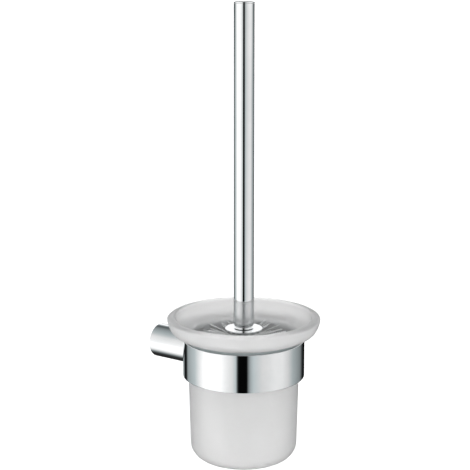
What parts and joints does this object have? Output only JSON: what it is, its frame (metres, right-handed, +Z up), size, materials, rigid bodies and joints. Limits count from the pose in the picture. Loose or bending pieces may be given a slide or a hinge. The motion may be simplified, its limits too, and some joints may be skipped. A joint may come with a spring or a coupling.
{
  "type": "wall-mounted toilet brush holder",
  "caption": "Wall-mounted toilet brush holder: a chromed round post and ring carry a flared frosted glass cup, with a brush on a straight chromed tube handle.",
  "frame": {"origin": "centre of the wall bracket's back face, on the wall's plane and on the post's axis", "axes": "+Y points into the wall, +Z is up along the handle, and the part is symmetric left to right about x = 0"},
  "size_m": [0.1228, 0.1478, 0.3668],
  "materials": {
    "chrome": "polished chrome plate",
    "zinc_plate": "zinc-plated steel, satin",
    "clear_vinyl": "clear soft vinyl, slightly milky",
    "frosted_glass": "satin-etched clear glass, nearly opaque",
    "white_plastic": "moulded white plastic, satin",
    "white_nylon": "white nylon filament"
  },
  "bodies": {
    "holder": {"wall_bracket": "zinc_plate", "post": "chrome", "set_screw": "zinc_plate", "support_ring": "chrome", "ring_screw": "zinc_plate"},
    "gasket": {"seat_gasket": "clear_vinyl"},
    "cup": {"glass_cup": "frosted_glass"},
    "brush_head": {"head_stud": "zinc_plate", "brush_core": "white_plastic", "bristle_row_1": "white_nylon", "bristle_row_2": "white_nylon", "bristle_row_3": "white_nylon", "bristle_row_4": "white_nylon", "bristle_row_5": "white_nylon", "bristle_row_6": "white_nylon", "bristle_row_7": "white_nylon", "bristle_row_8": "white_nylon", "bristle_row_9": "white_nylon", "bristle_tip": "white_nylon"},
    "disc": {"splash_disc": "chrome"},
    "handle": {"handle_tube": "chrome", "handle_cap": "chrome", "handle_insert": "chrome"}
  },
  "joints": [
    {"name": "cup_turn", "type": "hinge", "parent": "holder", "child": "gasket", "pos_m": [0, -0.0864, 0], "axis": [0, 0, 1], "continuous": true},
    {"name": "cup_lift", "type": "slide", "parent": "gasket", "child": "cup", "axis": [0, 0, 1], "range_m": [0, 0.12]},
    {"name": "brush_lift", "type": "slide", "parent": "cup", "child": "brush_head", "axis": [0, 0, 1], "range_m": [0, 0.13]},
    {"name": "handle_unscrew", "type": "hinge", "parent": "brush_head", "child": "disc", "pos_m": [0, -0.0864, 0], "axis": [0, 0, 1], "range_deg": [0, 4680]},
    {"name": "handle_rise", "type": "slide", "parent": "disc", "child": "handle", "axis": [0, 0, 1], "range_m": [0, 0.01635]}
  ],
  "couplings": [
    {"joint": "handle_rise", "follows": "handle_unscrew", "m_per_rad": 0.00019894}
  ]
}
